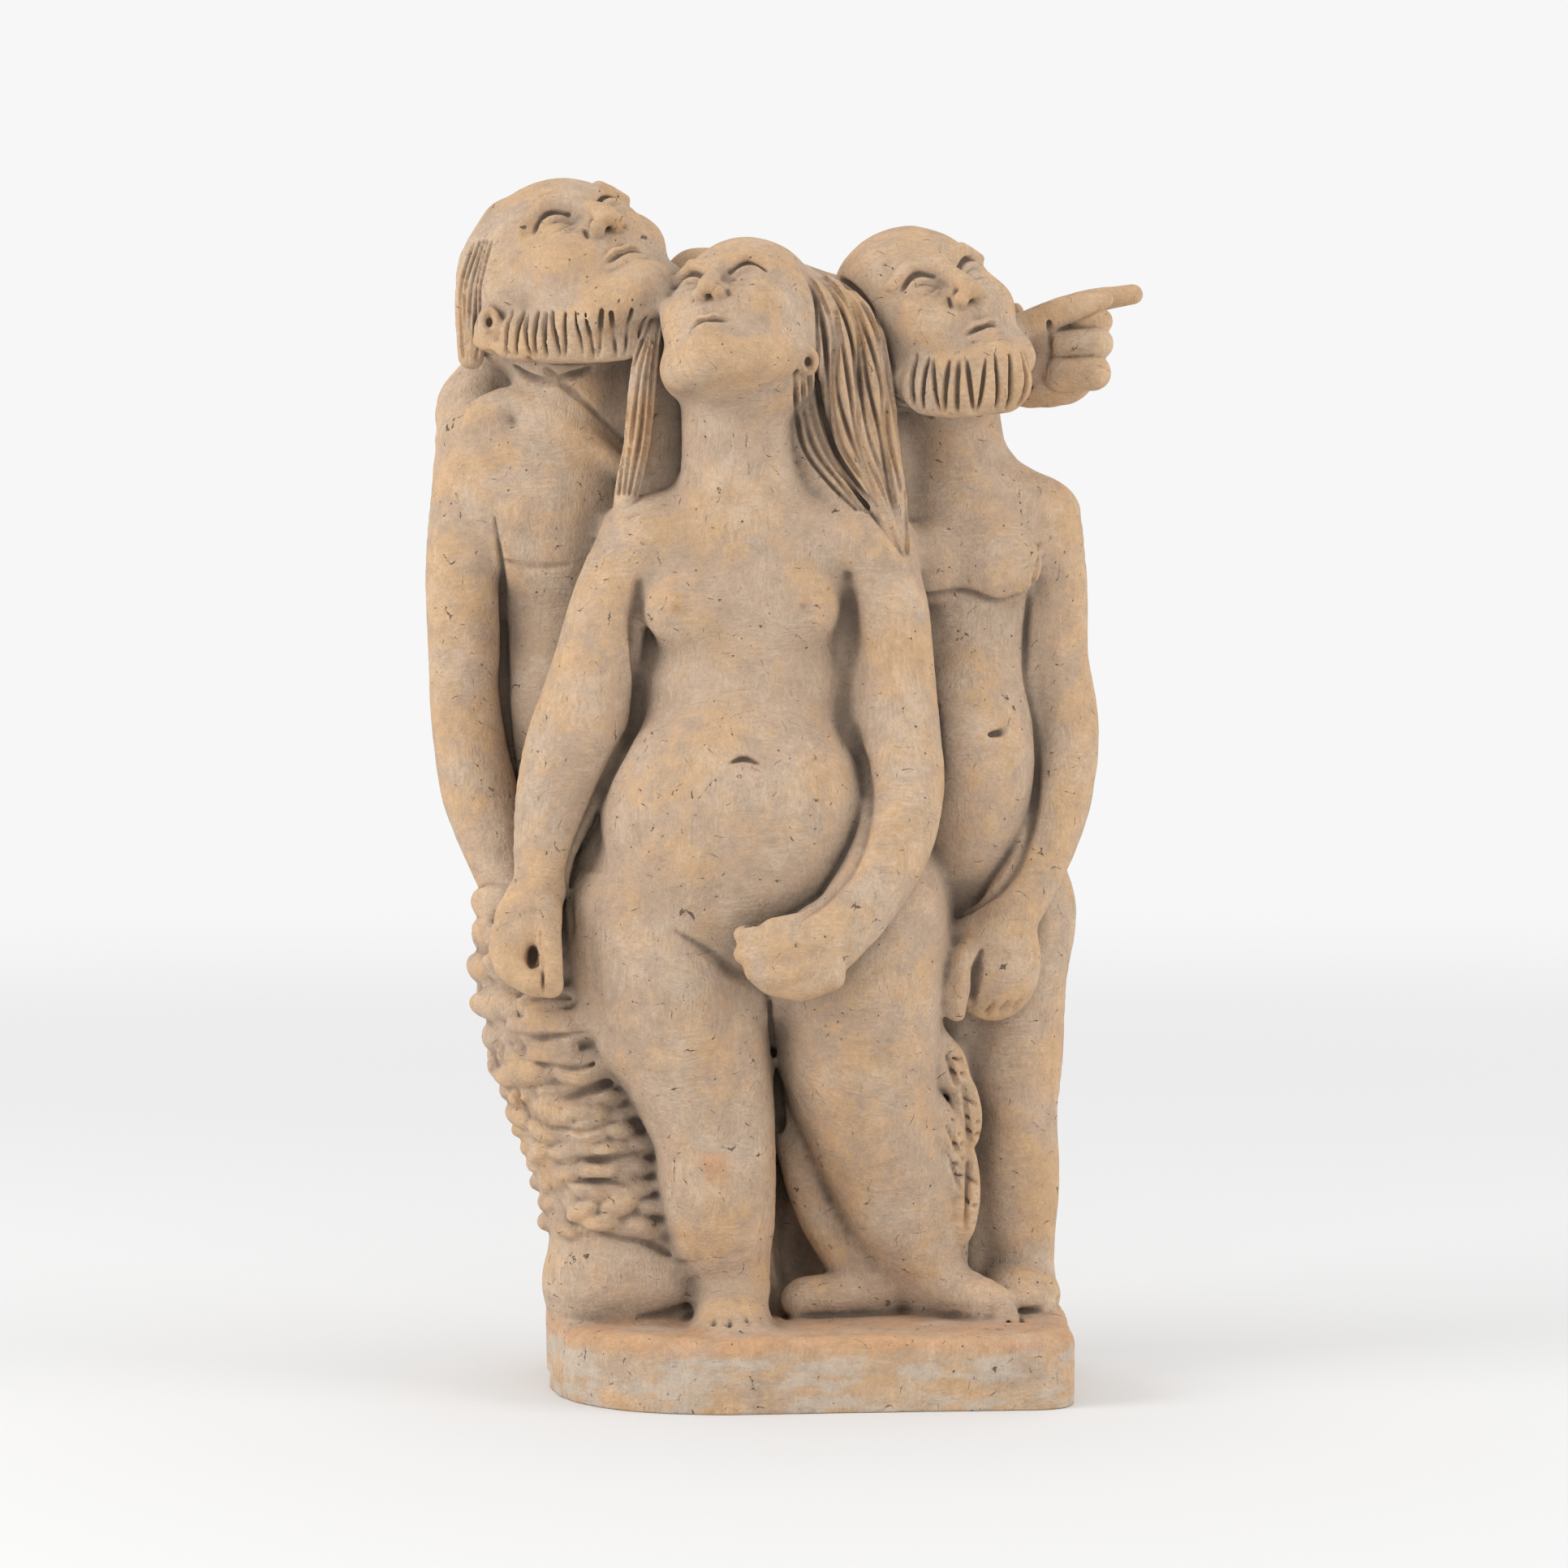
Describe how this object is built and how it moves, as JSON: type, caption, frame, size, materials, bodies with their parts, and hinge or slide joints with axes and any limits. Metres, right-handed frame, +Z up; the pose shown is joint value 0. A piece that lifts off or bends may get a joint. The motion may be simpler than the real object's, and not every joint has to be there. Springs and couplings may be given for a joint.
{
  "type": "adam and eve figurine",
  "caption": "Hand-modelled terracotta group standing on a low plinth: a woman in front, two bearded men close behind her, one pointing, beside a leafy trunk.",
  "frame": {"origin": "centre of the flat underside of the plinth", "axes": "+Z up, +X to the viewer's right when the woman faces the viewer, +Y from the front to the back"},
  "size_m": [0.2264, 0.1157, 0.3789],
  "materials": {
    "terracotta": "unglazed fired clay, matte, pale tan with ochre patches and a grey wash in the recesses"
  },
  "bodies": {
    "root": {"figure_group": "terracotta"}
  },
  "joints": []
}
